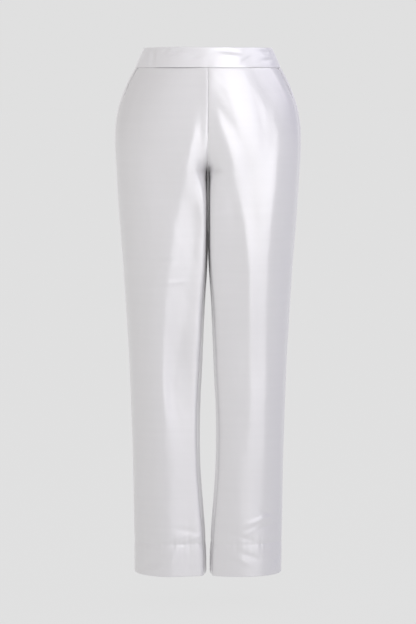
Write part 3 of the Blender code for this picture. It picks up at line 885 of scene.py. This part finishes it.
def add_cloth_band(kind, side, name, material, sizes):
    """A piece of the waistband: outside, the fold along the top, and the facing inside."""
    radius, fold = sizes.seam_radius, sizes.band_radius
    near = np.array(EDGE_STEPS)[:BAND_EDGE_ROWS]
    low = BAND_BOTTOM + HALF_GAP + radius
    heights = np.concatenate((low + near, np.linspace(low + near[-1], -fold, BAND_ROWS)[1:]))
    grid, places = form_of(kind, side, heights, BAND_COLUMNS, sizes, radius)
    if kind == "band_front":
        other, _ = form_of(kind, -side, heights, BAND_COLUMNS, sizes, radius)
        other[:, :, 0] *= -1
        grid[:, 0] = (grid[:, 0] + other[:, 0]) / 2
        grid[:, 0, 0] = 0.0
        grid = np.concatenate((other[:, :0:-1], grid), axis=1)
        places = np.concatenate((-places[:, :0:-1] + 2 * places[:, :1], places), axis=1)
    square = square_to(grid)
    last = len(heights) - 1
    bottom = turned_under(grid, square, 0, 1, BAND_UNDER_STEPS, radius)[::-1]
    facing = turned_under(grid, square, last, last - 1, range(last - 1, -1, -1), fold)
    add_turned_shell(name, grid, places, bottom, facing, side, material, sizes)


def add_pocket_bag(side, name, material, sizes):
    """The pocket bag behind a front, flat on the inside of the cloth and coming up to it at the mouth."""
    top = BAND_BOTTOM - HALF_GAP - sizes.seam_radius
    heights = np.linspace(POCKET_BOTTOM, top, POCKET_ROWS)
    grid, places = form_of("pocket", side, heights, POCKET_COLUMNS, sizes, POCKET_MARGIN)
    past_edge = places + np.array([[set_back(z)] for z in heights])
    depth = np.interp(past_edge, (0.0, MOUTH_RISE), (POCKET_DEPTH, MOUTH_DEPTH))
    grid = grid - square_to(grid) * depth[:, :, None]
    coordinates = cloth_coordinates(grid, places, side)
    thing, area = cloth_object(name, grid * (side, 1, 1), coordinates, 0, (0, 0), sizes)
    declare(thing, material, [name], cut_of(grid), area)


def add_coil(tape, material):
    """The closed coil on the inside of the zip's tape."""
    shape = bmesh.new()
    count = round((COIL_TOP - COIL_BOTTOM) / COIL_PITCH)
    for side in (1, -1):  # the two rows lie half a pitch apart
        x = side * (COIL_REACH - COIL_OVERLAP) / 2
        for step in range(count):
            z = COIL_TOP - COIL_PITCH * (step + 0.25 + 0.25 * side)
            found, place, _, _ = tape.ray_cast((x, 0.0, z), (0.0, 1.0, 0.0))
            if not found:
                raise RuntimeError(f"the tape has no inner face at height {z:.4f}")
            at = Matrix.Translation((x, place.y, z)) @ Matrix.Rotation(math.pi / 2, 4, "Y")
            bmesh.ops.create_cone(
                shape,
                cap_ends=True,
                segments=COIL_SIDES,
                radius1=COIL_RADIUS,
                radius2=COIL_RADIUS,
                depth=COIL_REACH + COIL_OVERLAP,
                matrix=at,
            )
    mesh = bpy.data.meshes.new("zip_coil")
    shape.to_mesh(mesh)
    shape.free()
    coil = bpy.data.objects.new("zip_coil", mesh)
    bpy.context.scene.collection.objects.link(coil)
    declare(coil, material, [])


def node_links(material):
    """The nodes of a material, its shader, and a function that adds a node and sets its values."""
    tree = material.node_tree
    shader = tree.nodes["Principled BSDF"]

    def add(kind, values=(), **settings):
        node = tree.nodes.new(kind)
        for key, value in settings.items():
            setattr(node, key, value)
        for key, value in values:
            node.inputs[key].default_value = value
        return node

    return tree, shader, add


def silk_material(name, tint, roughness):
    """Satin silk: a long soft lustre, crisp across the leg, with fine slubs running across."""
    material = bpy.data.materials.new(name)
    material.use_nodes = True
    tree, shader, add = node_links(material)
    shader.inputs["Roughness"].default_value = roughness
    for key, value in SATIN.items():
        shader.inputs[key].default_value = value
    where = add("ShaderNodeUVMap", uv_map="cloth")
    heights = []
    for scale, detail in WEAVE:
        spread = add("ShaderNodeMapping", (("Scale", scale),))
        noise = add("ShaderNodeTexNoise", (("Scale", 1.0), ("Detail", detail), ("Roughness", 0.5)))
        tree.links.new(where.outputs["UV"], spread.inputs["Vector"])
        tree.links.new(spread.outputs["Vector"], noise.inputs["Vector"])
        heights.append(noise.outputs["Fac"])
    slubs = add("ShaderNodeMapRange", SLUBS)
    tree.links.new(heights[0], slubs.inputs["Value"])
    raised = add("ShaderNodeMath", (), operation="ADD")
    tree.links.new(slubs.outputs["Result"], raised.inputs[0])
    tree.links.new(heights[1], raised.inputs[1])
    bumped = add("ShaderNodeBump", SLUB_RELIEF)
    tree.links.new(raised.outputs["Value"], bumped.inputs["Height"])
    tree.links.new(bumped.outputs["Normal"], shader.inputs["Normal"])
    tone = add("ShaderNodeMapRange", TONES)
    tree.links.new(heights[2], tone.inputs["Value"])
    toned = add("ShaderNodeVectorMath", ((0, tint),), operation="SCALE")
    tree.links.new(tone.outputs["Result"], toned.inputs["Scale"])
    tree.links.new(toned.outputs["Vector"], shader.inputs["Base Color"])
    along = add("ShaderNodeTangent", direction_type="UV_MAP", uv_map="cloth")
    tree.links.new(along.outputs["Tangent"], shader.inputs["Tangent"])
    return material


def plain_material(name, tint, roughness, metallic):
    """A plain finish with a slight unevenness."""
    material = bpy.data.materials.new(name)
    material.use_nodes = True
    tree, shader, add = node_links(material)
    shader.inputs["Base Color"].default_value = (*tint, 1.0)
    shader.inputs["Metallic"].default_value = metallic
    where = add("ShaderNodeTexCoord")
    noise = add("ShaderNodeTexNoise", (("Scale", 900.0), ("Detail", 2.0)))
    spread = add("ShaderNodeMapRange", (("To Min", roughness - UNEVEN), ("To Max", roughness + UNEVEN)))
    tree.links.new(where.outputs["Object"], noise.inputs["Vector"])
    tree.links.new(noise.outputs["Fac"], spread.inputs["Value"])
    tree.links.new(spread.outputs["Result"], shader.inputs["Roughness"])
    return material


def finish(part, colours):
    """The material in one of the panel's colours, made on first use."""
    tint = tuple(getattr(colours, part))
    if part in SILKS:
        name, roughness = SILKS[part]
        return bpy.data.materials.get(name) or silk_material(name, tint, roughness)
    name, roughness, metallic = PLAIN_FINISHES[part]
    return bpy.data.materials.get(name) or plain_material(name, tint, roughness, metallic)


class TROUSERS_OT_waistband(bpy.types.Operator):
    """Make the three pieces of the contoured waistband"""

    bl_idname = "trousers.waistband"
    bl_label = "Waistband"

    def execute(self, context):
        sizes, colours = context.scene.trousers_sizes, context.scene.trousers_colours
        add_cloth_band("band_front", 1, "waistband_front", finish("band", colours), sizes)
        for side, wearer in SIDES:
            add_cloth_band("back", side, f"waistband_back_{wearer}", finish("band", colours), sizes)
        return {"FINISHED"}


class TROUSERS_OT_legs(bpy.types.Operator):
    """Make the two fronts and the two backs"""

    bl_idname = "trousers.legs"
    bl_label = "Fronts and backs"

    def execute(self, context):
        sizes, colours = context.scene.trousers_sizes, context.scene.trousers_colours
        for side, wearer in SIDES:
            for kind in ("front", "back"):
                add_cloth_panel(kind, side, f"{kind}_{wearer}", finish("silk", colours), sizes)
        return {"FINISHED"}


class TROUSERS_OT_pockets(bpy.types.Operator):
    """Make the two pocket bags behind the fronts"""

    bl_idname = "trousers.pockets"
    bl_label = "Pockets"

    def execute(self, context):
        sizes, colours = context.scene.trousers_sizes, context.scene.trousers_colours
        for side, wearer in SIDES:
            add_pocket_bag(side, f"pocket_{wearer}", finish("pocket", colours), sizes)
        return {"FINISHED"}


class TROUSERS_OT_closure(bpy.types.Operator):
    """Finish the zip, hook and bar at the centre back"""

    bl_idname = "trousers.closure"
    bl_label = "Closure"

    def execute(self, context):
        colours = context.scene.trousers_colours
        for name, part in FITTINGS.items():
            node = bpy.data.objects.get(name)
            if node is None:
                raise RuntimeError(f"the frame has no node called {name}")
            node.material_slots[0].material = finish(part, colours)
        add_coil(bpy.data.objects["zip_tape"], finish("tape", colours))
        return {"FINISHED"}


def add_softbox(name, place, aim, size, tint, switched_off, energy):
    """A softbox at a place, turned towards a point."""
    lamp = bpy.data.lights.new(name, "AREA")
    lamp.energy = energy
    lamp.color = tint
    lamp.shape = "RECTANGLE"
    lamp.size, lamp.size_y = size
    thing = bpy.data.objects.new(name, lamp)
    thing.location = place
    thing.rotation_euler = (Vector(aim) - Vector(place)).to_track_quat("-Z", "Y").to_euler()
    bpy.context.scene.collection.objects.link(thing)
    if switched_off:
        setattr(thing, switched_off, False)


def make_world(colours, lights):
    """Light from all round, warmer and dimmer on the left, cooler on the right, and a flat background."""
    world = bpy.data.worlds.new("studio")
    world.use_nodes = True
    bpy.context.scene.world = world
    tree = world.node_tree
    tree.nodes.clear()
    where = tree.nodes.new("ShaderNodeTexCoord")
    split = tree.nodes.new("ShaderNodeSeparateXYZ")
    spread = tree.nodes.new("ShaderNodeMapRange")
    spread.inputs["From Min"].default_value = -1.0
    spread.inputs["From Max"].default_value = 1.0
    ramp = tree.nodes.new("ShaderNodeValToRGB")
    ramp.color_ramp.interpolation = "EASE"
    ramp.color_ramp.elements[0].color = (*WORLD_LEFT, 1.0)
    ramp.color_ramp.elements[1].color = (*WORLD_RIGHT, 1.0)
    ramp.color_ramp.elements.new(0.5).color = (*WORLD_FRONT, 1.0)
    room = tree.nodes.new("ShaderNodeBackground")
    room.inputs["Strength"].default_value = lights.room
    flat = tree.nodes.new("ShaderNodeBackground")
    flat.inputs["Color"].default_value = (*colours.studio, 1.0)
    seen = tree.nodes.new("ShaderNodeLightPath")
    choose = tree.nodes.new("ShaderNodeMixShader")
    out = tree.nodes.new("ShaderNodeOutputWorld")
    tree.links.new(where.outputs["Generated"], split.inputs["Vector"])
    tree.links.new(split.outputs["X"], spread.inputs["Value"])
    tree.links.new(spread.outputs["Result"], ramp.inputs["Fac"])
    tree.links.new(ramp.outputs["Color"], room.inputs["Color"])
    tree.links.new(seen.outputs["Is Camera Ray"], choose.inputs["Fac"])
    tree.links.new(room.outputs["Background"], choose.inputs[1])
    tree.links.new(flat.outputs["Background"], choose.inputs[2])
    tree.links.new(choose.outputs["Shader"], out.inputs["Surface"])


def add_floor(colours):
    """A wide plain floor in the background's own tone, with a trace of shade under the hems."""
    shape = bmesh.new()
    bmesh.ops.create_circle(shape, cap_ends=True, segments=FLOOR_SIDES, radius=FLOOR_RADIUS)
    bmesh.ops.translate(shape, verts=shape.verts, vec=(0.0, 0.0, FLOOR_HEIGHT))
    mesh = bpy.data.meshes.new("floor")
    shape.to_mesh(mesh)
    shape.free()
    floor = bpy.data.objects.new("floor", mesh)
    bpy.context.scene.collection.objects.link(floor)
    material = bpy.data.materials.new("floor")
    material.use_nodes = True
    _, shader, _ = node_links(material)
    shader.inputs["Base Color"].default_value = (*[FLOOR_TONE * value for value in colours.studio], 1.0)
    shader.inputs["Roughness"].default_value = 1.0
    shader.inputs["Specular IOR Level"].default_value = 0.0
    shader.inputs["Emission Color"].default_value = (*colours.studio, 1.0)
    shader.inputs["Emission Strength"].default_value = FLOOR_GLOW
    mesh.materials.append(material)


class TROUSERS_OT_stage(bpy.types.Operator):
    """Set up the floor, the light and the photograph's view"""

    bl_idname = "trousers.stage"
    bl_label = "Studio"

    def execute(self, context):
        scene = context.scene
        colours, lights = scene.trousers_colours, scene.trousers_lights
        add_floor(colours)
        make_world(colours, lights)
        for name, settings in SOFTBOXES.items():
            add_softbox(name, *settings, getattr(lights, name))
        lens = bpy.data.cameras.new("camera")
        lens.lens = CAMERA_LENS
        lens.clip_end = CAMERA_REACH
        camera = bpy.data.objects.new("camera", lens)
        camera.location = CAMERA_PLACE
        camera.rotation_euler = (math.radians(90.0 - CAMERA_TILT), 0.0, 0.0)
        scene.collection.objects.link(camera)
        scene.camera = camera
        scene.view_settings.view_transform = "Standard"
        return {"FINISHED"}


GROUPS = {
    "trousers_sizes": TrousersSizes,
    "trousers_colours": TrousersColours,
    "trousers_lights": TrousersLights,
}
OPERATORS = (
    TROUSERS_OT_waistband,
    TROUSERS_OT_legs,
    TROUSERS_OT_pockets,
    TROUSERS_OT_closure,
    TROUSERS_OT_stage,
)


class TROUSERS_PT_panel(bpy.types.Panel):
    """Sizes, colours and the steps that make the trousers"""

    bl_idname = "TROUSERS_PT_panel"
    bl_label = "Tapered trousers"
    bl_space_type = "VIEW_3D"
    bl_region_type = "UI"
    bl_category = "Trousers"

    def draw(self, context):
        for group_name in GROUPS:
            group = getattr(context.scene, group_name)
            for name in group.__annotations__:
                self.layout.prop(group, name)
        for operator in OPERATORS:
            self.layout.operator(operator.bl_idname)


CLASSES = (*GROUPS.values(), *OPERATORS, TROUSERS_PT_panel)


def register():
    """Add the properties, operators and panel."""
    for kind in CLASSES:
        bpy.utils.register_class(kind)
    for name, kind in GROUPS.items():
        setattr(bpy.types.Scene, name, PointerProperty(type=kind))


def unregister():
    """Take them away again."""
    for name in GROUPS:
        delattr(bpy.types.Scene, name)
    for kind in reversed(CLASSES):
        bpy.utils.unregister_class(kind)


def main():
    """Register the add-on, then make every piece and the stage."""
    register()
    for operator in OPERATORS:
        group, step = operator.bl_idname.split(".")
        getattr(getattr(bpy.ops, group), step)()


if __name__ == "__main__":
    main()
